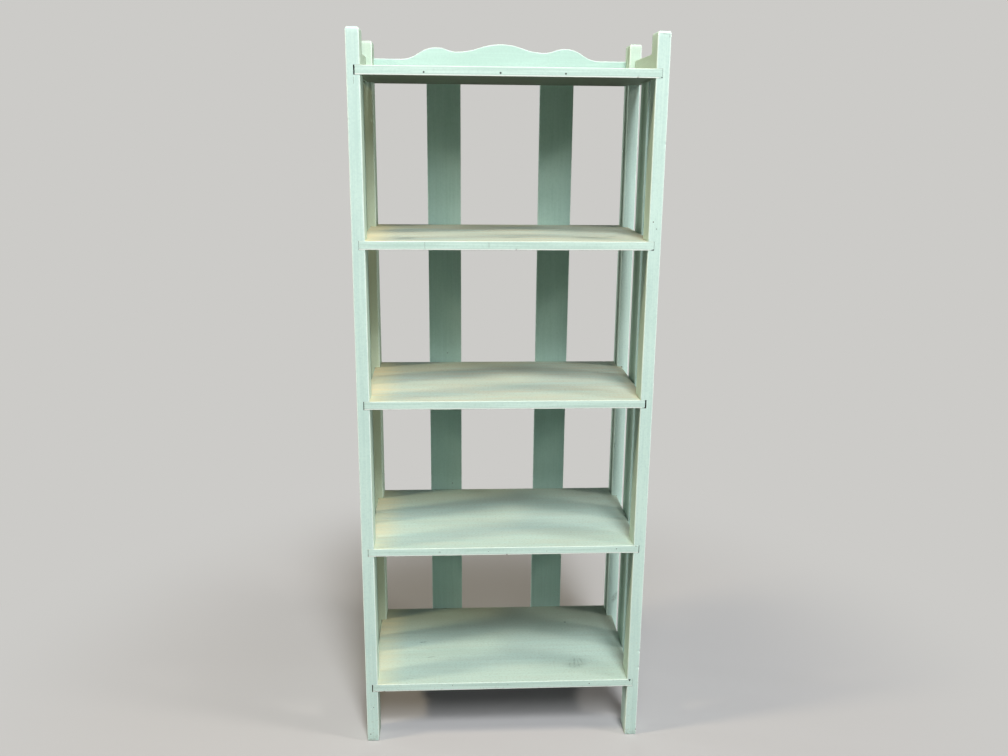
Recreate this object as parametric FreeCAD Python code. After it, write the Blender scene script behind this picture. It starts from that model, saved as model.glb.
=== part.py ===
import FreeCAD, Part
import math
import os

from FreeCAD import Vector

os.makedirs("parts", exist_ok=True)

# A tall painted bookcase: four flat posts, five boards housed in them, laths on the back and the
# sides, a scalloped crest rail and two low side rails round the top board. Millimetres, +Z up,
# origin on the floor at the middle of the whole outline. +X is to the right, -Y is the front.

# Frame
frame_width = 650.0
frame_depth = 363.0
post_height = 1616.0

# Posts
post_width = 28.0
post_depth = 57.0
post_arris = 2.0
post_top_round = 4.0

# Boards; the post tops stand post_rise above the upper face of the top board
board_thickness = 19.0
board_edge_round = 2.5
board_count = 5
lowest_board_height = 133.0
post_rise = 72.0
tack_hole_diameter = 2.4
tack_hole_depth = 6.0

# Housings cut in the posts for the ends of the boards, and the gap that each board leaves at its
# left and its right end, from the lowest board up
housing_depth = 13.5
left_end_gaps = (2.2, 0.9, 1.6, 0.5, 2.8)
right_end_gaps = (0.3, 1.2, 3.0, 0.5, 0.4)
# Places of the tack holes along the front edge of the top board, of the way from the middle to a
# housing's floor, and their height, of its thickness
tack_hole_shares = (-0.55, -0.056, 0.368)
tack_hole_height_share = 0.34

# Laths on the back and on the sides
back_slat_width = 81.0
back_slat_thickness = 10.0
back_slat_offset = 135.0
side_slat_width = 80.0
side_slat_thickness = 10.0
slat_arris = 1.2

# Crest rail and side rails, heights above the top board
crest_thickness = 12.0
side_rail_thickness = 12.0
rail_low_height = 36.5
rail_hump_height = 63.0
crest_dip_height = 54.0
crest_crown_height = 71.5
# How far the low stretch of a side rail stops short of the front post
side_rail_rise_run = 80.0
# Places along the crest rail, of its half length: where it starts to rise, its side hump, its dip
crest_shoulder_share = 0.79
crest_hump_share = 0.51
crest_dip_share = 0.345

# Rounding along the top edges of these rails
rail_edge_round = 1.5

# Nails of the frame and the rails
nail_length = 45.0
nail_diameter = 2.6
nail_head_diameter = 5.0
nail_head_thickness = 1.4
# Nails of the laths
lath_nail_length = 28.0
lath_nail_diameter = 1.8
lath_nail_head_diameter = 4.4
lath_nail_head_thickness = 1.0
# Space round and past each nail in its hole
nail_clearance = 0.05
# Places of the two nails in a joint, of the width of the piece that they pass through
nail_pair_shares = (0.28, 0.72)
# Places of the nails up into the crest rail: of the clear width between the back laths' middle
# line and a lath, and of the clear width between a lath and its post
inner_crest_nail_share = 0.5
outer_crest_nail_share = 0.25
# Places of the nails through each side rail, of its length
rail_nail_shares = (0.12, 0.88)

# How far a cutting shape runs past the face that it cuts
overrun = 1.0

# Places that follow from the sizes above
half_width = frame_width / 2
post_inner_x = half_width - post_width
housing_floor_x = post_inner_x + housing_depth
front_y = -(frame_depth + back_slat_thickness) / 2
back_y = front_y + frame_depth
front_post_back_y = front_y + post_depth
back_post_front_y = back_y - post_depth
side_gap = back_post_front_y - front_post_back_y
top_board_top = post_height - post_rise
top_board_bottom = top_board_top - board_thickness
board_spacing = (top_board_bottom - lowest_board_height) / (board_count - 1)
board_bottoms = [lowest_board_height + n * board_spacing for n in range(board_count)]


def block(x_pair, y_pair, z_pair):
    corner = Vector(min(x_pair), min(y_pair), min(z_pair))
    size = [max(pair) - min(pair) for pair in (x_pair, y_pair, z_pair)]
    return Part.makeBox(size[0], size[1], size[2], corner)


def edges_along(shape, direction):
    found = []
    for edge in shape.Edges:
        run = edge.Vertexes[-1].Point - edge.Vertexes[0].Point
        if run.Length > 0 and abs(run.dot(direction)) / run.Length > math.cos(math.radians(1)):
            found.append(edge)
    return found


def nail(tip, direction, length, diameter, head_diameter, head_thickness):
    # A pointed shank and a cone head that ends flush with the face that it is driven into
    point = Part.makeCone(0, diameter / 2, diameter, tip, direction)
    shank = Part.makeCylinder(diameter / 2, length - diameter - head_thickness,
                              tip + direction * diameter, direction)
    head = Part.makeCone(diameter / 2, head_diameter / 2, head_thickness,
                         tip + direction * (length - head_thickness), direction)
    return point.fuse([shank, head]).removeSplitter()


def frame_nail(face_point, direction, clearance=0.0):
    tip = face_point - direction * (nail_length + clearance)
    return nail(tip, direction, nail_length + clearance, nail_diameter + 2 * clearance,
                nail_head_diameter + 2 * clearance, nail_head_thickness)


def lath_nail(face_point, direction, clearance=0.0):
    tip = face_point - direction * (lath_nail_length + clearance)
    return nail(tip, direction, lath_nail_length + clearance, lath_nail_diameter + 2 * clearance,
                lath_nail_head_diameter + 2 * clearance, lath_nail_head_thickness)


def post_joint_nails(side, y_start, bottom, clearance=0.0):
    # Two nails from the outer face of a post into the end of one board
    direction = Vector(side, 0, 0)
    z = bottom + board_thickness / 2
    places = [y_start + share * post_depth for share in nail_pair_shares]
    return [frame_nail(Vector(side * half_width, y, z), direction, clearance) for y in places]


def back_slat_nails(side, bottom, clearance=0.0):
    # Two nails through a back lath into the back edge of one board
    direction = Vector(0, 1, 0)
    left_x = side * back_slat_offset - back_slat_width / 2
    z = bottom + board_thickness / 2
    places = [left_x + share * back_slat_width for share in nail_pair_shares]
    return [lath_nail(Vector(x, back_y + back_slat_thickness, z), direction, clearance)
            for x in places]


def side_slat_nails(side, bottom, clearance=0.0):
    # Two nails through a side lath into the end of one board
    direction = Vector(side, 0, 0)
    front = (front_post_back_y + back_post_front_y - side_slat_width) / 2
    z = bottom + board_thickness / 2
    places = [front + share * side_slat_width for share in nail_pair_shares]
    return [lath_nail(Vector(side * (housing_floor_x + side_slat_thickness), y, z), direction, clearance)
            for y in places]


def side_rail_nails(side, clearance=0.0):
    # Nails through a side rail into the end of the top board
    direction = Vector(side, 0, 0)
    z = top_board_bottom + board_thickness / 2
    places = [front_post_back_y + share * side_gap for share in rail_nail_shares]
    return [lath_nail(Vector(side * (housing_floor_x + side_rail_thickness), y, z), direction, clearance)
            for y in places]


def crest_nails(clearance=0.0):
    # Nails up through the top board into the lower edge of the crest rail
    direction = Vector(0, 0, -1)
    y = back_y - crest_thickness / 2
    lath_inner_x = back_slat_offset - back_slat_width / 2
    lath_outer_x = back_slat_offset + back_slat_width / 2
    inner = inner_crest_nail_share * lath_inner_x
    outer = lath_outer_x + outer_crest_nail_share * (post_inner_x - lath_outer_x)
    return [frame_nail(Vector(x, y, top_board_bottom), direction, clearance)
            for x in (-outer, -inner, inner, outer)]


def ogee(start, end, place):
    # Two equal arcs, level at both ends and smooth where they meet; points are (run, height)
    run, rise = end[0] - start[0], end[1] - start[1]
    radius = (run * run + rise * rise) / (4 * abs(rise))
    half_turn = math.asin(abs(run) / (2 * radius)) / 2
    along = math.copysign(radius * math.sin(half_turn), run)
    up = math.copysign(radius * (1 - math.cos(half_turn)), rise)
    middle = ((start[0] + end[0]) / 2, (start[1] + end[1]) / 2)
    first = Part.Arc(place(*start), place(start[0] + along, start[1] + up), place(*middle))
    second = Part.Arc(place(*middle), place(end[0] - along, end[1] - up), place(*end))
    return [first.toShape(), second.toShape()]


def make_rail(stops, floor, place, across):
    # The top edge is level or an ogee from stop to stop; the ends are square, the foot is straight
    top = []
    for start, end in zip(stops, stops[1:]):
        if start[1] == end[1]:
            top.append(Part.makeLine(place(*start), place(*end)))
        else:
            top += ogee(start, end, place)
    corners = [stops[-1], (stops[-1][0], floor), (stops[0][0], floor), stops[0]]
    rest = [Part.makeLine(place(*a), place(*b)) for a, b in zip(corners, corners[1:])]
    rail = Part.Face(Part.Wire(top + rest)).extrude(across)
    marks = [edge.CenterOfMass for edge in top]
    marks += [mark + across for mark in marks]
    upper = [edge for edge in rail.Edges
             if min(edge.CenterOfMass.distanceToPoint(mark) for mark in marks) < rail_edge_round]
    return rail.makeFillet(rail_edge_round, upper)


def make_post(side, y_start):
    y_pair = (y_start, y_start + post_depth)
    post = block((side * post_inner_x, side * half_width), y_pair, (0, post_height))
    top_edges = [edge for edge in post.Edges if edge.BoundBox.ZMin > post_height - post_top_round]
    post = post.makeFillet(post_top_round, top_edges)
    post = post.makeFillet(post_arris, edges_along(post, Vector(0, 0, 1)))
    for bottom in board_bottoms:
        housing = block((side * (post_inner_x - overrun), side * housing_floor_x),
                        (y_pair[0] - overrun, y_pair[1] + overrun),
                        (bottom, bottom + board_thickness))
        post = post.cut(housing)
        post = post.cut(post_joint_nails(side, y_start, bottom, nail_clearance))
    return post


def make_board(number):
    bottom = board_bottoms[number]
    x_pair = (left_end_gaps[number % len(left_end_gaps)] - housing_floor_x,
              housing_floor_x - right_end_gaps[number % len(right_end_gaps)])
    board = block(x_pair, (front_y, back_y), (bottom, bottom + board_thickness))
    board = board.makeFillet(board_edge_round, edges_along(board, Vector(1, 0, 0)))
    holes = []
    for side in (-1, 1):
        holes += post_joint_nails(side, front_y, bottom, nail_clearance)
        holes += post_joint_nails(side, back_post_front_y, bottom, nail_clearance)
        holes += back_slat_nails(side, bottom, nail_clearance)
        if number < board_count - 1:
            holes += side_slat_nails(side, bottom, nail_clearance)
    return board.cut(holes)


def make_top_board():
    board = make_board(board_count - 1)
    holes = crest_nails(nail_clearance)
    for side in (-1, 1):
        holes += side_rail_nails(side, nail_clearance)
    hole_z = top_board_bottom + tack_hole_height_share * board_thickness
    for share in tack_hole_shares:
        mouth = Vector(share * housing_floor_x, front_y - overrun, hole_z)
        depth = tack_hole_depth + overrun
        holes.append(Part.makeCylinder(tack_hole_diameter / 2, depth, mouth, Vector(0, 1, 0)))
    return board.cut(holes)


def make_back_slat(side):
    middle = side * back_slat_offset
    slat = block((middle - back_slat_width / 2, middle + back_slat_width / 2),
                 (back_y, back_y + back_slat_thickness), (lowest_board_height, top_board_top))
    slat = slat.makeFillet(slat_arris, edges_along(slat, Vector(0, 0, 1)))
    for bottom in board_bottoms:
        slat = slat.cut(back_slat_nails(side, bottom, nail_clearance))
    return slat


def make_side_slat(side):
    middle = (front_post_back_y + back_post_front_y) / 2
    slat = block((side * housing_floor_x, side * (housing_floor_x + side_slat_thickness)),
                 (middle - side_slat_width / 2, middle + side_slat_width / 2),
                 (lowest_board_height, top_board_bottom))
    slat = slat.makeFillet(slat_arris, edges_along(slat, Vector(0, 0, 1)))
    for bottom in board_bottoms[:-1]:
        slat = slat.cut(side_slat_nails(side, bottom, nail_clearance))
    return slat


def make_crest_rail():
    right = [(0, crest_crown_height),
             (crest_dip_share * post_inner_x, crest_dip_height),
             (crest_hump_share * post_inner_x, rail_hump_height),
             (crest_shoulder_share * post_inner_x, rail_low_height),
             (post_inner_x, rail_low_height)]
    stops = [(-x, height) for x, height in reversed(right[1:])] + right

    def place(x, height):
        return Vector(x, back_y - crest_thickness, top_board_top + height)

    rail = make_rail(stops, 0, place, Vector(0, crest_thickness, 0))
    return rail.cut(crest_nails(nail_clearance))


def make_side_rail(side):
    # The foot of the rail lies against the end of the top board
    stops = [(front_post_back_y, rail_hump_height),
             (front_post_back_y + side_rail_rise_run, rail_low_height),
             (back_post_front_y, rail_low_height)]

    def place(y, height):
        return Vector(side * housing_floor_x, y, top_board_top + height)

    rail = make_rail(stops, -board_thickness, place, Vector(side * side_rail_thickness, 0, 0))
    return rail.cut(side_rail_nails(side, nail_clearance))


def write(name, shape):
    if isinstance(shape, list):
        shape = Part.makeCompound(shape)
    shape.exportStep("parts/" + name + ".step")
    print(name, len(shape.Solids), "solids", round(shape.Volume), "mm3", shape.isValid())


sides = {"left": -1, "right": 1}
for side_name, side in sides.items():
    write("post_front_" + side_name, make_post(side, front_y))
    write("post_back_" + side_name, make_post(side, back_post_front_y))
    write("back_slat_" + side_name, make_back_slat(side))
    write("side_slat_" + side_name, make_side_slat(side))
    write("side_rail_" + side_name, make_side_rail(side))

for number in range(board_count - 1):
    write("shelf_" + str(number + 1), make_board(number))
write("top_shelf", make_top_board())
write("crest_rail", make_crest_rail())

post_nails, back_nails, side_nails, rail_nails = [], [], [], []
for side in sides.values():
    for bottom in board_bottoms:
        post_nails += post_joint_nails(side, front_y, bottom)
        post_nails += post_joint_nails(side, back_post_front_y, bottom)
        back_nails += back_slat_nails(side, bottom)
    for bottom in board_bottoms[:-1]:
        side_nails += side_slat_nails(side, bottom)
    rail_nails += side_rail_nails(side)
write("post_nails", post_nails)
write("back_slat_nails", back_nails)
write("side_slat_nails", side_nails)
write("side_rail_nails", rail_nails)
write("crest_rail_nails", crest_nails())
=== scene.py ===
import math
import random

import bpy
from mathutils import Matrix, Vector, noise


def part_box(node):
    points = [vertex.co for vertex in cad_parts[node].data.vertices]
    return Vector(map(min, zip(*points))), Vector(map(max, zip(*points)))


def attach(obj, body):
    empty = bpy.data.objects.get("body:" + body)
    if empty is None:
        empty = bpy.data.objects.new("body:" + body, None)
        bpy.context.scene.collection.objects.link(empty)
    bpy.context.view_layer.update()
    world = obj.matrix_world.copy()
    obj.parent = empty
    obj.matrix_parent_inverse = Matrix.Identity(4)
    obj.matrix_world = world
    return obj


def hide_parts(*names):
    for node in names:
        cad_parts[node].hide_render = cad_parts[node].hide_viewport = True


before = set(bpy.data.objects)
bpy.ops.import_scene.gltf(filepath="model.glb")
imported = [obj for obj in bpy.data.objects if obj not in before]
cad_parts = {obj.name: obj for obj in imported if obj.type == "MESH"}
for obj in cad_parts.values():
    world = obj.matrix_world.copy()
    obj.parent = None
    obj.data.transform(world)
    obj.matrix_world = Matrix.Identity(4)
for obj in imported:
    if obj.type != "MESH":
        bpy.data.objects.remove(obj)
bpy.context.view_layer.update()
print("frame loaded,", len(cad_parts), "nodes")

# A tall bookcase of pine, brushed with mint green satin paint long ago. Every wooden piece is laid again
# over its CAD node with hand-rounded edges, nicks and uneven faces. Sizes here are in millimetres.

scene = bpy.context.scene
scene.view_settings.view_transform = "Standard"


def metres(millimetres):
    return millimetres / 1000


def paintColour(code):
    # A hex sRGB colour as linear red, green, blue and alpha
    shares = [int(code[place:place + 2], 16) / 255 for place in (1, 3, 5)]
    return [s / 12.92 if s <= 0.04045 else ((s + 0.055) / 1.055) ** 2.4 for s in shares] + [1.0]


def addNode(tree, kind, settings=None, inputs=None):
    # One node with its settings; an input is a value, a hex colour, or the node or socket that feeds it
    node = tree.nodes.new(kind)
    for key, value in (settings or {}).items():
        setattr(node, key, value)
    for key, value in (inputs or {}).items():
        if isinstance(value, bpy.types.Node):
            value = value.outputs[0]
        if isinstance(value, bpy.types.NodeSocket):
            tree.links.new(value, node.inputs[key])
        else:
            node.inputs[key].default_value = paintColour(value) if isinstance(value, str) else value
    return node


def newMaterial(name):
    material = bpy.data.materials.new(name)
    material.use_nodes = True
    tree = material.node_tree
    tree.nodes.clear()
    return material, tree


def finishMaterial(tree, shader):
    addNode(tree, "ShaderNodeOutputMaterial", inputs={"Surface": shader})


def nodeBox(name):
    # Lowest and highest corner of a CAD node, in millimetres
    low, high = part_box(name)
    return [1000 * value for value in low], [1000 * value for value in high]


# The camera stands where the photograph was taken: a little lower than the top board, left of the middle
camera = {
    "place": (-112.98, -2149.4, 1419.14),
    "yaw": 3.149,
    "pitch": 14.792,
    "roll": 0.525,
    "focalPixels": 935.16,
    "imageWidth": 1008,
    "sensorWidth": 36,
}


def makeCamera(spec):
    lens = bpy.data.cameras.new("photographCamera")
    lens.sensor_width = spec["sensorWidth"]
    lens.lens = spec["focalPixels"] * spec["sensorWidth"] / spec["imageWidth"]
    holder = bpy.data.objects.new("photographCamera", lens)
    scene.collection.objects.link(holder)
    holder.matrix_world = (Matrix.Translation([metres(value) for value in spec["place"]])
                           @ Matrix.Rotation(math.radians(-spec["yaw"]), 4, "Z")
                           @ Matrix.Rotation(math.radians(90 - spec["pitch"]), 4, "X")
                           @ Matrix.Rotation(math.radians(spec["roll"]), 4, "Z"))
    scene.camera = holder


makeCamera(camera)
print("camera placed")

# Light: round softboxes, aimed at the middle of the case. A level of 1 lights a face turned to the softbox
# so that its colour renders as written. The low ones only fill in the sides and the back.
softboxes = {
    "aim": (0, 0, 850),
    "boxes": [
        {"name": "softboxHigh", "azimuth": 10, "elevation": 56, "distance": 20000, "size": 4600,
         "level": 0.60, "tint": "#ffffff"},
        {"name": "softboxFront", "azimuth": 8, "elevation": 43, "distance": 20000, "size": 5000,
         "level": 0.38, "tint": "#ffffff"},
        {"name": "softboxFill", "azimuth": 4, "elevation": 27, "distance": 12000, "size": 3000,
         "level": 0.06, "tint": "#ffffff"},
        {"name": "softboxNear", "azimuth": 0, "elevation": 42, "distance": 2400, "size": 600,
         "level": 0.22, "tint": "#ffffff"},
        {"name": "softboxLeft", "azimuth": -76, "elevation": 40, "distance": 6000, "size": 800,
         "level": 0.44, "tint": "#ffe9c6"},
        {"name": "softboxRight", "azimuth": 70, "elevation": 42, "distance": 6000, "size": 900,
         "level": 0.30, "tint": "#fff4e8"},
        {"name": "softboxLowLeft", "azimuth": -104, "elevation": 0, "distance": 20000, "size": 2000,
         "level": 0.40, "tint": "#ffffff"},
        {"name": "softboxLowRight", "azimuth": 84, "elevation": 0, "distance": 20000, "size": 2000,
         "level": 0.28, "tint": "#ffffff"},
        {"name": "softboxLowBehind", "azimuth": 180, "elevation": 0, "distance": 20000, "size": 2000,
         "level": 0.70, "tint": "#ffffff"},
    ],
    "roomLevel": 0.01,
    "backdropTint": "#cccbc8",
}


def makeLights(spec):
    aim = Vector(spec["aim"])
    for box in spec["boxes"]:
        azimuth, elevation = math.radians(box["azimuth"]), math.radians(box["elevation"])
        outward = Vector((math.sin(azimuth) * math.cos(elevation),
                          -math.cos(azimuth) * math.cos(elevation), math.sin(elevation)))
        light = bpy.data.lights.new(box["name"], "AREA")
        light.shape = "DISK"
        light.size = metres(box["size"])
        # A disk lamp lights a face turned to it by its energy over pi squared times the distance squared
        light.energy = math.pi ** 2 * metres(box["distance"]) ** 2 * box["level"]
        light.color = paintColour(box["tint"])[:3]
        holder = bpy.data.objects.new(box["name"], light)
        scene.collection.objects.link(holder)
        holder.location = [metres(value) for value in aim + outward * box["distance"]]
        holder.rotation_mode = "QUATERNION"
        holder.rotation_quaternion = (-outward).to_track_quat("-Z", "Y")
        holder.visible_glossy = box["elevation"] > 0


def makeRoom(spec):
    # The room gives a little light from all round; the camera sees a plain pale backdrop
    world = bpy.data.worlds.new("paleRoom")
    world.use_nodes = True
    tree = world.node_tree
    tree.nodes.clear()
    seen = addNode(tree, "ShaderNodeLightPath").outputs["Is Camera Ray"]
    room = addNode(tree, "ShaderNodeBackground", inputs={"Color": "#ffffff", "Strength": spec["roomLevel"]})
    backdrop = addNode(tree, "ShaderNodeBackground", inputs={"Color": spec["backdropTint"], "Strength": 1.0})
    mix = addNode(tree, "ShaderNodeMixShader", inputs={0: seen, 1: room, 2: backdrop})
    addNode(tree, "ShaderNodeOutputWorld", inputs={"Surface": mix})
    scene.world = world


# The floor: one wide sheet, pale under the lamps, that fades into the backdrop and keeps the case's shadow
floorSheet = {
    "radius": 9000,
    "corners": 96,
    "colour": "#aeafb1",
    "bounceColour": "#615f5b",
    "fadeStart": 450,
    "fadeEnd": 1600,
}


def makeFloor(spec):
    rim = [(metres(spec["radius"]) * math.cos(2 * math.pi * n / spec["corners"]),
            metres(spec["radius"]) * math.sin(2 * math.pi * n / spec["corners"]), 0)
           for n in range(spec["corners"])]
    mesh = bpy.data.meshes.new("floorSheet")
    mesh.from_pydata(rim, [], [list(range(spec["corners"]))])
    floor = bpy.data.objects.new("floorSheet", mesh)
    scene.collection.objects.link(floor)

    # Painted studio floor: matt, even, pale to the camera; it throws back little light on the undersides
    material, tree = newMaterial("mattStudioFloor")
    seen = addNode(tree, "ShaderNodeLightPath").outputs["Is Camera Ray"]
    tone = addNode(tree, "ShaderNodeMix", {"data_type": "RGBA"},
                   {0: seen, 6: spec["bounceColour"], 7: spec["colour"]}).outputs[2]
    paint = addNode(tree, "ShaderNodeBsdfDiffuse", inputs={"Color": tone})
    glow = addNode(tree, "ShaderNodeEmission", inputs={"Color": softboxes["backdropTint"], "Strength": 1.0})
    place = addNode(tree, "ShaderNodeTexCoord").outputs["Object"]
    reach = addNode(tree, "ShaderNodeVectorMath", {"operation": "LENGTH"}, {0: place}).outputs["Value"]
    fade = addNode(tree, "ShaderNodeMapRange", {"interpolation_type": "SMOOTHERSTEP"},
                   {"Value": reach, "From Min": metres(spec["fadeStart"]), "From Max": metres(spec["fadeEnd"])})
    share = addNode(tree, "ShaderNodeMath", {"operation": "MULTIPLY"}, {0: fade, 1: seen})
    finishMaterial(tree, addNode(tree, "ShaderNodeMixShader", inputs={0: share, 1: paint, 2: glow}))
    mesh.materials.append(material)


makeLights(softboxes)
makeRoom(softboxes)
makeFloor(floorSheet)
print("light and floor ready")

# The paint: oil paint in mint green, brushed on by hand and gone satin with age. It lies a little thicker
# here and thinner there, in faint brush lines along each piece; edges are paler, partly wear and partly painted
# highlight; faces turned to the middle of the case carry painted warm shade; undersides carry dark painted
# shade.
# Pattern sizes are in millimetres. Real bristle lines are about 0.5 wide, so they are drawn coarser.
# "layers" lie over the thin coat, lowest first: a tone, and then the ramps whose product says how much of it
# shows. A ramp is a source, two values of that source and the shares there. Places are in metres.
# Where the tops of both back posts lie; these carry painted warm shade and painted shade
backPostTops = [("offCentre", 0.296, 0.299, 0, 1), ("y", 0.1, 0.12, 0, 1), ("z", 1.55, 1.56, 0, 1)]
brushedPaint = {
    "thick": "#cde8df",
    "thin": "#bcd9d2",
    # Paler edge tone: partly worn paint, partly painted highlight
    "edge": "#d9efe7",
    # Painted highlight: the near-white line along the lower edges of the boards
    "paintedLowerEdgeHighlight": "#f1fbf5",
    # "inward" is a warm olive tone used as painted warm shade
    "inward": "#bcc38f",
    # Painted shade: the dark murky olive given to the undersides
    "paintedUndersideShade": "#56604f",
    # A dirt tone, also used as painted shade on the backs of the board tops and on the back post tops
    "grimeAndPaintedShade": "#767a64",
    "chip": "#5d5644",
    "scuff": "#6f7f78",
    "patterns": {
        "streaks": {"length": 260, "width": 7, "detail": 2, "shift": 0},
        "bristles": {"length": 120, "width": 2.6, "detail": 1, "shift": 3},
        "clouds": {"length": 300, "width": 150, "detail": 3, "shift": 5},
        "speckle": {"length": 5, "width": 5, "detail": 3, "shift": 7},
    },
    "patternRoughness": 0.6,
    "shares": {"streaks": 0.18, "bristles": 0.18, "clouds": 0.32, "speckle": 0.32},
    "layers": [
        ("thick", ("thickness", 0.38, 0.62, 0, 1)),
        # Painted warm shade: faces turned to the middle of the case take the warm olive tone
        ("inward", ("turnedIn", -0.1, -0.28, 0, 0.22)),
        # Painted warm shade on the front of the left back post, and painted warm shade with painted shade on
        # the tops of both back posts
        ("inward", ("x", -0.28, -0.29, 0, 1), ("y", 0.1, 0.12, 0, 0.45), ("z", 1.54, 1.5, 0, 1),
         ("facingY", 0.5, -0.5, 0, 1)),
        ("inward", *backPostTops, ("facingY", 0.5, -0.5, 0, 0.18)),
        ("grimeAndPaintedShade", *backPostTops, ("facingY", 0.5, -0.5, 0, 0.13)),
        # Painted shade: faces turned down take the dark murky olive
        ("paintedUndersideShade", ("facingZ", -0.5, -0.95, 0, 0.9)),
        # "arris" is 1 on worn edges and 2 on the lower edges of the boards, which carry a painted highlight
        # Paler edges, partly worn paint and partly painted highlight; the darker edge tone of the boards is
        # painted shade over their highlight
        ("edge", ("arris", 0, 1, 0, 0.4), ("speckle", 0.35, 0.6, 0.2, 1)),
        ("paintedLowerEdgeHighlight", ("arris", 0.6, 1.6, 0, 1)),
        # Dirt splashed up from the floor, and the feet
        ("grimeAndPaintedShade", ("z", 0.5, 0, 0.05, 0.3), ("speckle", 0.52, 0.75, 0, 1)),
        ("grimeAndPaintedShade", ("z", 0.025, 0, 0, 0.3), ("speckle", 0.35, 0.6, 0, 1)),
    ],
    # Knocked corners show dark old wood, over all else
    "knocks": [("chip", ("chip", 0.45, 0.9, 0, 0.85), ("speckle", 0.42, 0.58, 0, 1))],
    "markCore": 0.35,
    "markGrain": (0.38, 0.6),
    "roughnessRamp": (0.3, 0.7, 0.42, 0.6),
    "ior": 1.5,
    "bristleHeight": 0.12,
    "bristleShare": 0.75,
    "reliefStrength": 0.4,
}

# Board tops were brushed along the board and rubbed since. The arris in front of them gets a darker edge tone,
# a painted shade that dulls its highlight; the crest is a darker copy of the paint, painted shade
boardCoat = dict(brushedPaint, thin="#b6d2c9", edge="#93b1a6",
                 shares={"streaks": 0.34, "bristles": 0.22, "clouds": 0.2, "speckle": 0.24})
crestCoatPaintedShade = dict(brushedPaint, thick="#b5d5ce", thin="#aacac3", edge="#bcd6cf")
# The back and side laths are a darker, deeper green copy of the paint: painted shade for laths that stand in
# the shade of the bays
lathPaintPaintedShade = dict(brushedPaint, thick="#b0d0c7", thin="#a3c5bb", edge="#d0e6dc", scuff="#57675f")


def layerShare(tree, *ramps):
    # How much of a layer shows: a product of ramps, each a source, its two ends and the values there
    share = None
    for source, start, end, atStart, atEnd in ramps:
        ramp = addNode(tree, "ShaderNodeMapRange", {"interpolation_type": "SMOOTHSTEP"},
                       {"Value": source, "From Min": start, "From Max": end,
                        "To Min": atStart, "To Max": atEnd})
        share = ramp if share is None else addNode(tree, "ShaderNodeMath", {"operation": "MULTIPLY"},
                                                   {0: share, 1: ramp})
    return share


def makePaint(name, axis, spec, marks=(), boardSpec=None):
    material, tree = newMaterial(name)
    if boardSpec:
        spec = dict(spec, **boardSpec["tones"], patterns=dict(spec["patterns"], **boardSpec["patterns"]),
                    layers=spec["layers"] + boardSpec["layers"])
    place = addNode(tree, "ShaderNodeTexCoord").outputs["Object"]
    normal = addNode(tree, "ShaderNodeNewGeometry").outputs["Normal"]
    sources = {}
    for vector, keys in ((place, ("x", "y", "z")), (normal, ("facingX", "facingY", "facingZ"))):
        sources.update(zip(keys, addNode(tree, "ShaderNodeSeparateXYZ", inputs={0: vector}).outputs))
    sources["offCentre"] = addNode(tree, "ShaderNodeMath", {"operation": "ABSOLUTE"}, {0: sources["x"]})
    # Below 0 on faces turned to the middle of the case
    sources["turnedIn"] = addNode(tree, "ShaderNodeMath", {"operation": "MULTIPLY"},
                                  {0: sources["x"], 1: sources["facingX"]})
    # Written on the meshes; "dusty" says how much dust and yellowing each board carries
    for key in ("arris", "chip", "dusty") if boardSpec else ("arris", "chip"):
        sources[key] = addNode(tree, "ShaderNodeAttribute", {"attribute_name": key}).outputs["Fac"]
    for key, sizes in spec["patterns"].items():
        scale = [1 / metres(sizes["length"] if way == axis else sizes["width"]) for way in "xyz"]
        mapped = addNode(tree, "ShaderNodeMapping",
                         inputs={"Vector": place, "Scale": scale, "Location": [sizes["shift"]] * 3})
        sources[key] = addNode(tree, "ShaderNodeTexNoise",
                               inputs={"Vector": mapped, "Scale": 1.0, "Detail": sizes["detail"],
                                       "Roughness": spec["patternRoughness"]})
    thickness = 0.0
    for key, share in spec["shares"].items():
        thickness = addNode(tree, "ShaderNodeMath", {"operation": "MULTIPLY_ADD"},
                            {0: sources[key], 1: share, 2: thickness})
    sources["thickness"] = thickness

    def laidOn(rows):
        return [(layerShare(tree, *[(sources[source], *ends) for source, *ends in ramps]), tone)
                for tone, *ramps in rows]

    layers = laidOn(spec["layers"])
    roughness = layerShare(tree, (sources["streaks"], *spec["roughnessRamp"]))
    if boardSpec:
        dust = next(share for share, tone in layers if tone == "dust")
        roughness = addNode(tree, "ShaderNodeMath", {"operation": "MULTIPLY_ADD"},
                            {0: dust, 1: boardSpec["dustRoughness"], 2: roughness})
    # Smudges, scrapes and dots: each a ball squeezed to its reach, with a ragged rim
    for mark in marks:
        spot = addNode(tree, "ShaderNodeMapping", {"vector_type": "TEXTURE"},
                       {"Vector": place, "Location": [metres(value) for value in mark["at"]],
                        "Rotation": [math.radians(value) for value in mark.get("turn", (0, 0, 0))],
                        "Scale": [metres(value) for value in mark["reach"]]})
        reach = addNode(tree, "ShaderNodeVectorMath", {"operation": "LENGTH"}, {0: spot}).outputs["Value"]
        share = layerShare(tree, (reach, 1, spec["markCore"], 0, mark["strength"]),
                           (sources[mark.get("rim", "speckle")], *spec["markGrain"], 1 - mark["broken"], 1))
        layers.append((share, mark.get("tone", "scuff")))
    layers += laidOn(spec["knocks"])

    colour = spec["thin"]
    for share, tone in layers:
        colour = addNode(tree, "ShaderNodeMix", {"data_type": "RGBA"},
                         {0: share, 6: colour, 7: spec[tone]}).outputs[2]
    relief = addNode(tree, "ShaderNodeMath", {"operation": "MULTIPLY_ADD"},
                     {0: sources["bristles"], 1: spec["bristleShare"], 2: sources["streaks"]})
    bump = addNode(tree, "ShaderNodeBump", inputs={"Height": relief, "Strength": spec["reliefStrength"],
                                                   "Distance": metres(spec["bristleHeight"])})
    shader = addNode(tree, "ShaderNodeBsdfPrincipled",
                     inputs={"Base Color": colour, "Roughness": roughness, "Normal": bump, "IOR": spec["ior"]})
    finishMaterial(tree, shader)
    return material
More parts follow.
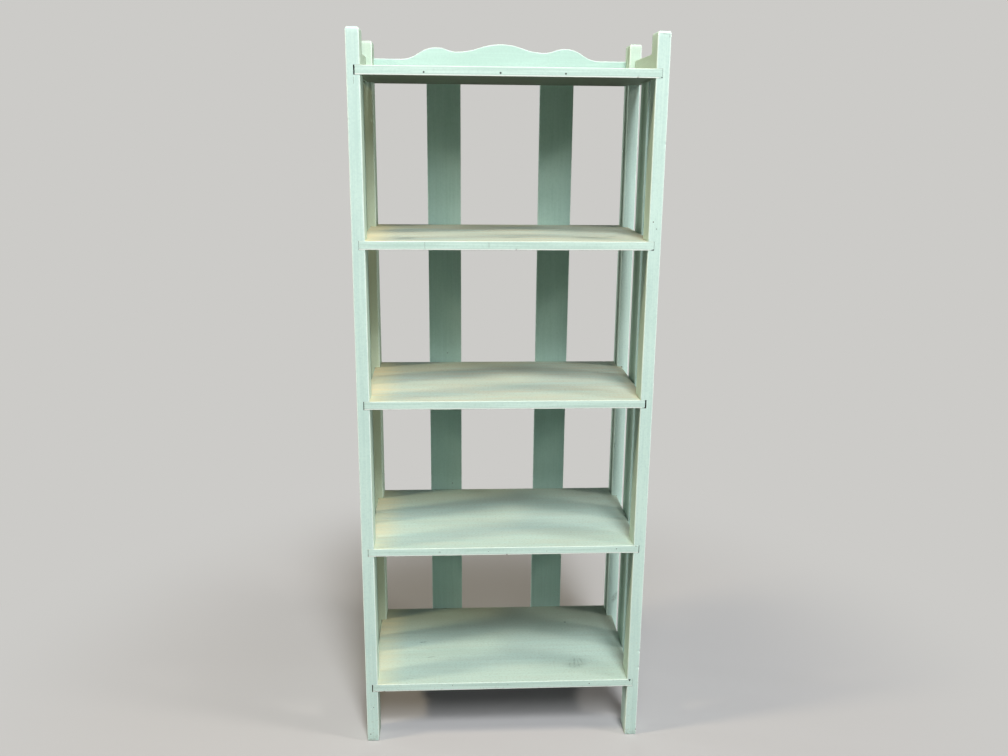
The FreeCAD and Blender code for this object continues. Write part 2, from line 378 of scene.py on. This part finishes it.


# What lies on the board tops: a film from handling, dust in long wiped streaks and dirt between them; painted
# shade towards the back, strongest at the back of the lowest board; and at the ends, most at the left, a yellow
# that is partly aged paint and partly painted warm light
facingUp = ("facingZ", 0.6, 0.95, 0, 1)
boardTops = {
    "patterns": {
        "wiped": {"length": 150, "width": 15, "detail": 5, "shift": 0},
        "gritty": {"length": 5.5, "width": 4, "detail": 4, "shift": 3},
    },
    "tones": {"handled": "#a3c0b9", "dust": "#bfbba6", "yellowingAndPaintedWarmLight": "#dacfa2"},
    "layers": [
        ("handled", facingUp, ("clouds", 0.3, 0.7, 0.45, 0.75)),
        ("dust", facingUp, ("dusty", 0, 1, 0, 1), ("wiped", 0.3, 0.7, 0.35, 1), ("gritty", 0.3, 0.7, 0.75, 1)),
        ("grimeAndPaintedShade", facingUp, ("gritty", 0.46, 0.74, 0, 0.26)),
        # Painted shade: the tops darken towards the back, and most at the back of the lowest board
        ("grimeAndPaintedShade", facingUp, ("y", 0.05, 0.17, 0, 0.3)),
        ("grimeAndPaintedShade", facingUp, ("z", 0.4, 0.2, 0, 1), ("y", -0.04, 0.13, 0.06, 0.4)),
        # Yellowed paint mixed with painted warm light at the ends of the tops, strongest at the left end, less
        # at the right
        ("yellowingAndPaintedWarmLight", facingUp, ("x", -0.225, -0.297, 0, 0.75), ("dusty", 0, 1, 0.5, 1),
         ("wiped", 0.3, 0.7, 0.6, 1)),
        ("yellowingAndPaintedWarmLight", facingUp, ("x", 0.28, 0.297, 0, 0.25), ("dusty", 0, 1, 0, 1)),
    ],
    "dustRoughness": 0.2,
}
# Smudges, scrapes and dark dots: the place, half sizes and turn of each, how strong and how broken it is,
# and the pattern that frays its rim where that isn't "speckle"
boardMarks = [
    {"at": (183, -110, 152), "reach": (40, 30, 6), "turn": (0, 0, 24), "strength": 0.3, "broken": 0.8,
     "rim": "streaks"},
    {"at": (167, -117, 152), "reach": (3.2, 15, 6), "turn": (0, 0, -14), "strength": 0.36, "broken": 0.9},
    {"at": (180, -106, 152), "reach": (3.4, 31, 6), "turn": (0, 0, -7), "strength": 0.5, "broken": 0.7},
    {"at": (189, -112, 152), "reach": (2.6, 26, 6), "turn": (0, 0, 3), "strength": 0.36, "broken": 0.9},
    {"at": (197, -101, 152), "reach": (3, 20, 6), "turn": (0, 0, 12), "strength": 0.4, "broken": 0.9},
    {"at": (184, -121, 152), "reach": (33, 3, 6), "turn": (0, 0, 12), "strength": 0.4, "broken": 0.9},
    {"at": (-196, 1, 152), "reach": (13, 3.5, 6), "turn": (0, 0, 8), "strength": 0.7, "broken": 0.5},
    {"at": (-174, -70, 152), "reach": (17, 2.6, 6), "turn": (0, 0, 12), "strength": 0.55, "broken": 0.4},
    {"at": (179, 88, 152), "reach": (4.5, 5.5, 6), "strength": 0.8, "broken": 0.2},
    {"at": (-40, 70, 152), "reach": (24, 4, 6), "turn": (0, 0, 5), "strength": 0.3, "broken": 0.8},
    {"at": (-215, -128, 1196), "reach": (38, 24, 6), "turn": (0, 0, 30), "strength": 0.75, "broken": 0.9,
     "rim": "streaks"},
    {"at": (-238, -100, 1196), "reach": (28, 12, 6), "turn": (0, 0, 60), "strength": 0.5, "broken": 0.9,
     "rim": "streaks"},
    {"at": (15, -110, 1196), "reach": (44, 16, 6), "turn": (0, 0, 12), "strength": 0.6, "broken": 0.9,
     "rim": "streaks"},
    {"at": (190, -118, 1196), "reach": (56, 26, 6), "turn": (0, 0, -18), "strength": 0.8, "broken": 0.9,
     "rim": "streaks"},
    {"at": (232, -88, 1196), "reach": (30, 14, 6), "turn": (0, 0, 40), "strength": 0.6, "broken": 0.9,
     "rim": "streaks"},
    {"at": (-230, 20, 1196), "reach": (70, 40, 6), "strength": 0.35, "broken": 0.8, "rim": "streaks"},
    {"at": (-39, -187, 1188), "reach": (3, 3, 9), "strength": 0.35, "broken": 0.5},
    {"at": (-148, -187, 490), "reach": (4, 3, 3), "strength": 0.5, "broken": 0.3},
    # Dark rims round the three tack holes in the top board
    {"at": (-170.9, -187, 1531.5), "reach": (3, 3, 3), "strength": 0.85, "broken": 0.1},
    {"at": (-17.4, -187, 1531.5), "reach": (3.4, 3, 3), "strength": 0.9, "broken": 0.1},
    {"at": (114.1, -187, 1531.5), "reach": (3, 3, 3), "strength": 0.8, "broken": 0.1},
]
uprightMarks = [
    {"at": (316, 118, 207), "reach": (9, 6, 24), "turn": (0, 20, 0), "strength": 0.6, "broken": 0.7},
    {"at": (-311.6, -187, 231), "reach": (2.6, 3, 2.2), "strength": 0.9, "broken": 0.1, "tone": "edge"},
    {"at": (-313.9, -187, 87), "reach": (3, 3, 2.4), "strength": 0.9, "broken": 0.1, "tone": "edge"},
    {"at": (312, -187, 1610), "reach": (15, 3, 1.8), "turn": (0, 4, 0), "strength": 0.6, "broken": 0.5},
    {"at": (321, -187, 1606), "reach": (2, 3, 5), "strength": 0.5, "broken": 0.5},
]
lathMarks = [
    {"at": (-130, 176, 871), "reach": (2.5, 3, 2.5), "strength": 0.8, "broken": 0.2},
    {"at": (-119, 176, 517), "reach": (2.5, 3, 2.5), "strength": 0.8, "broken": 0.2},
]

uprightPaint = makePaint("brushedOilPaintUpright", "z", brushedPaint, uprightMarks)
lathCoat = makePaint("brushedOilPaintLathPaintedShade", "z", lathPaintPaintedShade, lathMarks)
boardPaint = makePaint("brushedOilPaintBoard", "x", boardCoat, boardMarks, boardTops)
crestPaint = makePaint("brushedOilPaintCrestPaintedShade", "x", crestCoatPaintedShade)
railPaint = makePaint("brushedOilPaintRail", "y", brushedPaint)

# Old pine where the paint never reached, in the housings, the tack holes and the small pits; its very dark tone
# is partly old wood and partly painted shade in these recesses
oldPineWithPaintedShade = {
    "wood": "#40352a",
    "shade": "#241d16",
    "grainLength": 60,
    "grainWidth": 3,
    "grainDetail": 3.0,
    "grainRamp": (0.35, 0.65, 0, 1),
    "roughness": 0.8,
    "ior": 1.5,
}


def makeOldPine(spec):
    material, tree = newMaterial("oldPineUnpaintedWithPaintedShade")
    grain = addNode(tree, "ShaderNodeMapping", inputs={
        "Vector": addNode(tree, "ShaderNodeTexCoord").outputs["Object"],
        "Scale": [1 / metres(spec[size]) for size in ("grainWidth", "grainWidth", "grainLength")]})
    rings = addNode(tree, "ShaderNodeTexNoise",
                    inputs={"Vector": grain, "Scale": 1.0, "Detail": spec["grainDetail"]})
    light = layerShare(tree, (rings, *spec["grainRamp"]))
    colour = addNode(tree, "ShaderNodeMix", {"data_type": "RGBA"},
                     {0: light, 6: spec["shade"], 7: spec["wood"]}).outputs[2]
    shader = addNode(tree, "ShaderNodeBsdfPrincipled",
                     inputs={"Base Color": colour, "Roughness": spec["roughness"], "IOR": spec["ior"]})
    finishMaterial(tree, shader)
    return material


pineBare = makeOldPine(oldPineWithPaintedShade)

# Wire nails, heads brushed over with the same paint and a little rust bleeding through
paintedNail = {
    "paint": "#b9d3c6",
    "rust": "#86694b",
    "rustSize": 2.2,
    "rustDetail": 3.0,
    "rustRamp": (0.5, 0.68, 0, 0.75),
    "roughness": 0.5,
    "ior": 1.5,
}


def makePaintedNail(spec):
    material, tree = newMaterial("steelNailPaintedOver")
    bleed = addNode(tree, "ShaderNodeTexNoise", inputs={
        "Vector": addNode(tree, "ShaderNodeTexCoord").outputs["Object"],
        "Scale": 1 / metres(spec["rustSize"]), "Detail": spec["rustDetail"]})
    rusty = layerShare(tree, (bleed, *spec["rustRamp"]))
    colour = addNode(tree, "ShaderNodeMix", {"data_type": "RGBA"},
                     {0: rusty, 6: spec["paint"], 7: spec["rust"]}).outputs[2]
    shader = addNode(tree, "ShaderNodeBsdfPrincipled",
                     inputs={"Base Color": colour, "Roughness": spec["roughness"], "IOR": spec["ior"]})
    finishMaterial(tree, shader)
    return material


nailPaint = makePaintedNail(paintedNail)
print("paints ready")


# Wooden pieces. Each is drawn as a row of rounded rectangles, strung along the piece's length, so that
# its edges and faces can differ a little from place to place, as hand-worked and often painted wood does.
drawing = {
    "longAxes": {"x": (1, 2, 0), "y": (2, 0, 1), "z": (0, 1, 2)},
    "arcSteps": 4,  # points round a corner
    "nickSteps": 3,  # rings in each half of a nick
    "leastStep": 0.3,  # between two rings
    "leastRadius": 0.25,
    "leastHollow": 0.06,  # keeps each face just inside the CAD piece
    "endEasing": 0.4,  # how much of the rounding of an end comes off its corner radii
    "bandShare": 0.2,  # most of a face that the band along its edge may take
    "swells": [(40, 7.3, 1), (11, 5.1, 0.5)],  # of the corner radii: length, shift per corner, share
    "patchStretch": 3,  # uneven patches are longer along the piece
    "patchShift": 17.0,  # between the patches of two pieces
    "cutterOverrun": 1.0,
    "sharpAngle": 38,
}


def sectionRing(uPair, vPair, radii, cuts, edgeBand):
    # Points of one rounded rectangle, anticlockwise from low u and low v, each with its way outward
    arcs = []
    places = [(uPair[0], vPair[0]), (uPair[1], vPair[0]), (uPair[1], vPair[1]), (uPair[0], vPair[1])]
    inward = [(1, 1), (-1, 1), (-1, -1), (1, -1)]
    for corner, (u, v) in enumerate(places):
        radius = radii[corner]
        arc = []
        for step in range(drawing["arcSteps"] + 1):
            angle = math.radians(180 + 90 * (corner + step / drawing["arcSteps"]))
            outU, outV = math.cos(angle), math.sin(angle)
            arc.append((u + inward[corner][0] * radius + outU * radius,
                        v + inward[corner][1] * radius + outV * radius, outU, outV, corner))
        arcs.append(arc)
    ring = []
    for corner, arc in enumerate(arcs):
        ring += arc
        start, end = arc[-1], arcs[(corner + 1) % 4][0]
        length = math.dist(start[:2], end[:2])
        margin = min(edgeBand / length, drawing["bandShare"])
        count = cuts[corner % 2]
        for cut in range(count + 2):
            share = margin + (1 - 2 * margin) * cut / (count + 1)
            ring.append((start[0] + share * (end[0] - start[0]), start[1] + share * (end[1] - start[1]),
                         start[2], start[3], None))
    return ring


def stationsBetween(low, high, step, extra):
    # Places of the rings: even steps and the extra places, none too close to the one before
    count = max(1, round((high - low) / step))
    places = [low + (high - low) * n / count for n in range(count + 1)]
    places += [place for place in extra if low < place < high]
    places.sort()
    kept = [places[0]]
    for place in places[1:]:
        if place - kept[-1] > drawing["leastStep"]:
            kept.append(place)
    kept[-1] = high
    return kept


def drawNicks(name, spec, low, high, seed):
    # Small knocks on the long edges: place, corner, half length and depth
    chance = random.Random(seed)
    drawn = [(chance.uniform(low, high), chance.randrange(4), chance.uniform(*spec["nickHalfLength"]),
              chance.uniform(*spec["nickDepth"])) for n in range(spec["nickCount"])]
    return drawn + spec.get("seenNicks", {}).get(name, [])


def layPiece(name, nodes, spec, longAxis, span, sectionAt, endRounds, material, seed):
    # sectionAt(place) gives the u pair, the v pair and the four corner radii at a place along the piece
    axes = drawing["longAxes"][longAxis]
    nicks = drawNicks(nodes[0], spec, span[0], span[1], seed)
    extra = [place + half * part / drawing["nickSteps"] for place, corner, half, depth in nicks
             for part in range(-drawing["nickSteps"], drawing["nickSteps"] + 1)]
    roundSteps = [math.radians(90 * n / drawing["arcSteps"]) for n in range(drawing["arcSteps"] + 1)]
    stations = [(place, 0.0) for place in stationsBetween(span[0] + endRounds[0], span[1] - endRounds[1],
                                                          spec["step"], extra)]
    lowEnd = [(span[0] + endRounds[0] * (1 - math.sin(a)), endRounds[0] * (1 - math.cos(a)))
              for a in reversed(roundSteps[1:])]
    highEnd = [(span[1] - endRounds[1] * (1 - math.sin(a)), endRounds[1] * (1 - math.cos(a)))
               for a in roundSteps[1:]]
    points, arris, chips, rings = [], [], [], []
    for place, inset in lowEnd + stations + highEnd:
        uPair, vPair, radii = sectionAt(place)
        uPair, vPair = (uPair[0] + inset, uPair[1] - inset), (vPair[0] + inset, vPair[1] - inset)
        swell = [sum(share * noise.noise(Vector((place / length, corner * shift, seed)))
                     for length, shift, share in drawing["swells"]) for corner in range(4)]
        radii = [max(drawing["leastRadius"],
                     (radius - drawing["endEasing"] * inset) * (1 + spec["edgeVariation"] * swell[corner]))
                 for corner, radius in enumerate(radii)]
        ring = []
        for u, v, outU, outV, corner in sectionRing(uPair, vPair, radii, spec["cuts"], spec["edgeBand"]):
            uneven = noise.noise(Vector((u / spec["patch"], v / spec["patch"],
                                         place / (drawing["patchStretch"] * spec["patch"])
                                         + drawing["patchShift"] * seed)))
            hollow = drawing["leastHollow"] + spec["unevenness"] * (0.5 + 0.5 * uneven)
            chip = 0.0
            if corner is not None:
                for nickPlace, nickCorner, half, depth in nicks:
                    if nickCorner == corner and abs(place - nickPlace) < half:
                        chip += depth * (1 - ((place - nickPlace) / half) ** 2)
            spot = [0.0, 0.0, 0.0]
            spot[axes[0]] = u - outU * (hollow + chip)
            spot[axes[1]] = v - outV * (hollow + chip)
            spot[axes[2]] = place
            ring.append(len(points))
            points.append([metres(value) for value in spot])
            arris.append(0.0 if corner is None else 2.0 if corner in spec.get("lowCorners", ()) else 1.0)
            chips.append(min(1.0, chip / spec["nickDepth"][1]))
        rings.append(ring)
    faces = [list(reversed(rings[0]))]
    for lower, upper in zip(rings, rings[1:]):
        for n in range(len(lower)):
            follow = (n + 1) % len(lower)
            faces.append([lower[n], lower[follow], upper[follow], upper[n]])
    faces.append(rings[-1])
    mesh = bpy.data.meshes.new(name)
    mesh.from_pydata(points, [], faces)
    for key, values in (("arris", arris), ("chip", chips)):
        mesh.attributes.new(key, "FLOAT", "POINT").data.foreach_set("value", values)
    mesh.materials.append(material)
    piece = bpy.data.objects.new(name, mesh)
    scene.collection.objects.link(piece)
    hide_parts(*nodes)
    return piece


def cutAway(piece, cutters, material):
    # Takes the cutters, as lists of points and faces, out of a piece; the cut faces get the material
    mesh = bpy.data.meshes.new("cutter")
    points, faces = [], []
    for cutterPoints, cutterFaces in cutters:
        faces += [[len(points) + index for index in face] for face in cutterFaces]
        points += [[metres(value) for value in point] for point in cutterPoints]
    mesh.from_pydata(points, [], faces)
    mesh.materials.append(material)
    cutter = bpy.data.objects.new("cutter", mesh)
    scene.collection.objects.link(cutter)
    trim = piece.modifiers.new("trim", "BOOLEAN")
    trim.operation = "DIFFERENCE"
    trim.solver = "EXACT"
    trim.material_mode = "TRANSFER"
    trim.object = cutter
    bpy.context.view_layer.update()
    trimmed = bpy.data.meshes.new_from_object(piece.evaluated_get(bpy.context.evaluated_depsgraph_get()))
    piece.modifiers.clear()
    piece.data = trimmed
    trimmed.name = piece.name
    bpy.data.objects.remove(cutter)


def boxCutter(low, high):
    points = [(x, y, z) for x in (low[0], high[0]) for y in (low[1], high[1]) for z in (low[2], high[2])]
    faces = [(0, 1, 3, 2), (4, 6, 7, 5), (0, 4, 5, 1), (2, 3, 7, 6), (0, 2, 6, 4), (1, 5, 7, 3)]
    return points, faces


def roundOutline(x, z, across, sides=12):
    turns = [2 * math.pi * n / sides for n in range(sides)]
    return [(x + across / 2 * math.cos(turn), z + across / 2 * math.sin(turn)) for turn in turns]


def pitCutter(outline, y, depth):
    # A hole of any outline, anticlockwise seen from the front, cut toward +Y from a face at y
    sides = len(outline)
    points = [(x, y + reach, z) for reach in (-drawing["cutterOverrun"], depth) for x, z in outline]
    faces = [list(range(sides)), list(range(2 * sides - 1, sides - 1, -1))]
    faces += [[n, n + sides, (n + 1) % sides + sides, (n + 1) % sides] for n in range(sides)]
    return points, faces


def smoothPiece(piece):
    mesh = piece.data
    mesh.polygons.foreach_set("use_smooth", [True] * len(mesh.polygons))
    mesh.set_sharp_from_angle(angle=math.radians(drawing["sharpAngle"]))
    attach(piece, "root")


# Posts, with a housing for the end of each board. Nicks that the photograph shows are given as the place,
# the corner, the half length and the depth, and pits as their outlines on the front face.
posts = {
    "seed": 11,
    "step": 8, "cuts": (3, 5), "patch": 34, "unevenness": 0.28, "edgeVariation": 0.3, "edgeBand": 1.8,
    "nickCount": 4, "nickHalfLength": (1.5, 4.0), "nickDepth": (0.3, 0.9),
    "arris": 2.0, "topRound": 5.5, "footRound": 1.2, "housingDepth": 13.5, "overrun": 1.5, "pitDepth": 1.2,
    "seenNicks": {"post_front_right": [(227, 1, 3.5, 1.8), (183, 1, 3.0, 1.4), (13, 1, 3.0, 1.6)]},
    "pits": {
        "post_front_right": [roundOutline(306.2, 1237.1, 2.6), roundOutline(313.7, 1222.5, 2.0)],
        "post_front_left": [roundOutline(-316.9, 18.4, 2.6), roundOutline(-308.1, 91.2, 2.2),
                            [(-310.6, 1508), (-310.2, 1508), (-310.0, 1521), (-310.5, 1521)]],
    },
}
boardNames = ["shelf_1", "shelf_2", "shelf_3", "shelf_4", "top_shelf"]
boardHeights = [(nodeBox(name)[0][2], nodeBox(name)[1][2]) for name in boardNames]


def layPost(side, row, seed):
    name = "post_" + row + "_" + side
    low, high = nodeBox(name)

    def section(place):
        return (low[0], high[0]), (low[1], high[1]), [posts["arris"]] * 4

    piece = layPiece("worn_" + name, [name], posts, "z", (low[2], high[2]), section,
                     (posts["footRound"], posts["topRound"]), uprightPaint, seed)
    outer = -1 if side == "left" else 1
    inner = high[0] if outer < 0 else low[0]
    across = sorted((inner - outer * posts["overrun"], inner + outer * posts["housingDepth"]))
    cutters = [boxCutter((across[0], low[1] - posts["overrun"], bottom),
                         (across[1], high[1] + posts["overrun"], top))
               for bottom, top in boardHeights]
    cutters += [pitCutter(outline, low[1], posts["pitDepth"]) for outline in posts["pits"].get(name, [])]
    cutAway(piece, cutters, pineBare)
    smoothPiece(piece)


postPlaces = [("left", "front"), ("right", "front"), ("left", "back"), ("right", "back")]
for number, (side, row) in enumerate(postPlaces):
    layPost(side, row, posts["seed"] + number)
print("posts laid")

# Boards, lowest first; their edges are rounder between the posts than inside the housings. Pits in the front
# face, with their depths: the three tack holes of the top board, broken corners, a crack and dark dots.
boards = {
    "seed": 31,
    "step": 10, "cuts": (22, 2), "patch": 60, "unevenness": 0.22, "edgeVariation": 0.35, "edgeBand": 3.4,
    "nickCount": 4, "nickHalfLength": (1.5, 4.0), "nickDepth": (0.3, 0.9),
    "edgeRound": 1.5, "lowerRound": 1.2, "housedRound": 0.7, "endRound": 0.4, "lowCorners": (0, 1),
    "easingStart": 1.5, "easingRun": 2,  # the rounding narrows from this far before the posts, over this run
    "dusty": [0.3, 0.4, 0.75, 1.0, 0.8],
    "pits": {
        "top_shelf": [(roundOutline(-170.9, 1531.5, 3), 6), (roundOutline(-17.4, 1531.5, 3.2), 6),
                      (roundOutline(114.1, 1531.5, 3), 6), (roundOutline(309.0, 1526.6, 2.2), 2)],
        "shelf_4": [([(302.5, 1176), (311, 1176), (311, 1180.4), (308.5, 1179.5), (305.5, 1178.6)], 5),
                    ([(-173.2, 1179.5), (-172.8, 1179.5), (-172.7, 1194), (-173.1, 1194)], 1.2)],
        "shelf_3": [([(303.5, 828), (307.8, 828), (307.8, 831.8), (306, 830.6), (304.5, 829.6)], 4)],
        "shelf_2": [(roundOutline(302.7, 498, 2.4), 1.5), (roundOutline(258, 492, 2.4), 1.5),
                    (roundOutline(97, 489, 1.5), 1), (roundOutline(-36.8, 490, 1.5), 1)],
        "shelf_1": [([(299.6, 152.6), (303.6, 145.6), (305.9, 152.6)], 3), (roundOutline(205.8, 143, 2.4), 1.2),
                    (roundOutline(-120.7, 146.2, 1.5), 1), (roundOutline(11.3, 144.5, 1.5), 1)],
    },
}


def layBoard(number, name):
    low, high = nodeBox(name)
    innerX = nodeBox("post_front_right")[0][0]

    def section(place):
        housed = min(1.0, max(0.0, (abs(place) - innerX + boards["easingStart"]) / boards["easingRun"]))
        rounds = [radius + housed * (boards["housedRound"] - radius)
                  for radius in (boards["lowerRound"], boards["edgeRound"])]
        return (low[1], high[1]), (low[2], high[2]), rounds[:1] * 2 + rounds[1:] * 2

    piece = layPiece("worn_" + name, [name], boards, "x", (low[0], high[0]), section,
                     (boards["endRound"], boards["endRound"]), boardPaint, boards["seed"] + number)
    pits = [pitCutter(outline, low[1], depth) for outline, depth in boards["pits"].get(name, [])]
    if pits:
        cutAway(piece, pits, pineBare)
    mesh = piece.data
    mesh.attributes.new("dusty", "FLOAT", "POINT").data.foreach_set(
        "value", [boards["dusty"][number]] * len(mesh.vertices))
    smoothPiece(piece)


for number, name in enumerate(boardNames):
    layBoard(number, name)
print("boards laid")

# Thin laths down the back and the sides
laths = {
    "seed": 51,
    "step": 10, "cuts": (5, 0), "patch": 40, "unevenness": 0.25, "edgeVariation": 0.3, "edgeBand": 1.2,
    "nickCount": 3, "nickHalfLength": (1.5, 4.0), "nickDepth": (0.3, 0.8), "arris": 1.2, "endRound": 0.6,
}


def layLath(name, seed):
    low, high = nodeBox(name)
    spec = dict(laths)
    if high[1] - low[1] > high[0] - low[0]:
        spec["cuts"] = laths["cuts"][::-1]

    def section(place):
        return (low[0], high[0]), (low[1], high[1]), [laths["arris"]] * 4

    piece = layPiece("worn_" + name, [name], spec, "z", (low[2], high[2]), section,
                     (laths["endRound"], laths["endRound"]), lathCoat, seed)
    smoothPiece(piece)


for number, name in enumerate(["back_slat_left", "back_slat_right", "side_slat_left", "side_slat_right"]):
    layLath(name, laths["seed"] + number)
print("laths laid")

# The crest rail and the side rails, sawn to wavy tops and rounded over by sandpaper
rails = {
    "seed": 71,
    "step": 4, "cuts": (1, 4), "patch": 40, "unevenness": 0.2, "edgeVariation": 0.3, "edgeBand": 1.4,
    "nickCount": 2, "nickHalfLength": (1.5, 4.0), "nickDepth": (0.2, 0.6),
    "topRound": 1.7, "footRound": 0.4, "endRound": 0.4,
    "crestStops": [(0, 71.5), (0.345, 54), (0.51, 63), (0.79, 36.5), (1, 36.5)],  # share of half length, height
    "sideStops": [(0, 63), (80, 36.5)],  # distance from the front post, height
}


def waveHeight(place, stops):
    # Height of the wavy top: two equal arcs from each stop to the next, level where they meet a stop
    for (startX, startZ), (endX, endZ) in zip(stops, stops[1:]):
        if startX <= place <= endX:
            run, rise = endX - startX, endZ - startZ
            if rise == 0:
                return startZ
            radius = (run * run + rise * rise) / (4 * abs(rise))
            first = min(place - startX, run / 2)
            second = min(endX - place, run / 2)
            drop = radius - math.sqrt(radius ** 2 - first ** 2)
            back = radius - math.sqrt(radius ** 2 - second ** 2)
            turn = math.copysign(1, rise)
            return startZ + turn * drop if place - startX <= run / 2 else endZ - turn * back
    return stops[-1][1]


def layCrest():
    low, high = nodeBox("crest_rail")
    stops = [(share * high[0], height) for share, height in rails["crestStops"]]

    def section(place):
        top = low[2] + waveHeight(abs(place), stops)
        return (low[1], high[1]), (low[2], top), [rails["footRound"]] * 2 + [rails["topRound"]] * 2

    piece = layPiece("worn_crest_rail", ["crest_rail"], rails, "x", (low[0], high[0]), section,
                     (rails["endRound"], rails["endRound"]), crestPaint, rails["seed"])
    smoothPiece(piece)


def laySideRail(side, seed):
    name = "side_rail_" + side
    low, high = nodeBox(name)
    boardTop = nodeBox("crest_rail")[0][2]
    spec = dict(rails)
    spec["cuts"] = rails["cuts"][::-1]

    def section(place):
        top = boardTop + waveHeight(place - low[1], rails["sideStops"])
        rounds = [rails["footRound"], rails["topRound"], rails["topRound"], rails["footRound"]]
        return (low[2], top), (low[0], high[0]), rounds

    piece = layPiece("worn_" + name, [name], spec, "y", (low[1], high[1]), section,
                     (rails["endRound"], rails["endRound"]), railPaint, seed)
    smoothPiece(piece)


layCrest()
laySideRail("left", rails["seed"] + 1)
laySideRail("right", rails["seed"] + 2)
print("rails laid")

for name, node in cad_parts.items():
    if name.endswith("_nails"):
        node.data.materials.clear()
        node.data.materials.append(nailPaint)
print("nails painted")
